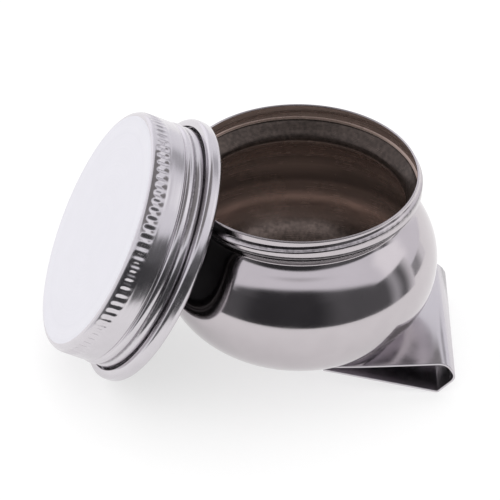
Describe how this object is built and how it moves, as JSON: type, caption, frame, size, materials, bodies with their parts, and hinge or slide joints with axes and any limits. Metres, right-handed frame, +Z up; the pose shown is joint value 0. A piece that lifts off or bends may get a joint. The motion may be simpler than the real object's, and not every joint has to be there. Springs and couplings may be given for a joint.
{
  "type": "screw-lid dipper dish",
  "caption": "Bulged steel liquid cup with a threaded neck and a spring clip under its base, its knurled screw lid taken off and leaning against the rim.",
  "frame": {"origin": "on the cup's axis, at the underside of the clip's upper leaf, where the dish sits on a palette", "axes": "+Z up along the cup's axis, out of its mouth; +X from the leaning lid through the cup to the clip's bend; +Y away from the viewer"},
  "size_m": [0.0724, 0.0502, 0.046],
  "materials": {
    "cup_steel": "polished",
    "clip_steel": "bright rolled",
    "lid_steel": "polished",
    "liner_foam": "matt closed-cell foam"
  },
  "bodies": {
    "cup": {"cup_body": "cup_steel", "palette_clip": "clip_steel"},
    "liner": {"lid_liner": "liner_foam"},
    "lid": {"lid_shell": "lid_steel"}
  },
  "joints": [
    {"name": "lid_lift", "type": "slide", "parent": "cup", "child": "liner", "axis": [-0.8853, -0.0852, 0.4571], "range_m": [0, 0.045]},
    {"name": "lid_turn", "type": "hinge", "parent": "liner", "child": "lid", "pos_m": [-0.02415, -0.00218, 0.01552], "axis": [-0.8853, -0.0852, 0.4571], "continuous": true}
  ]
}
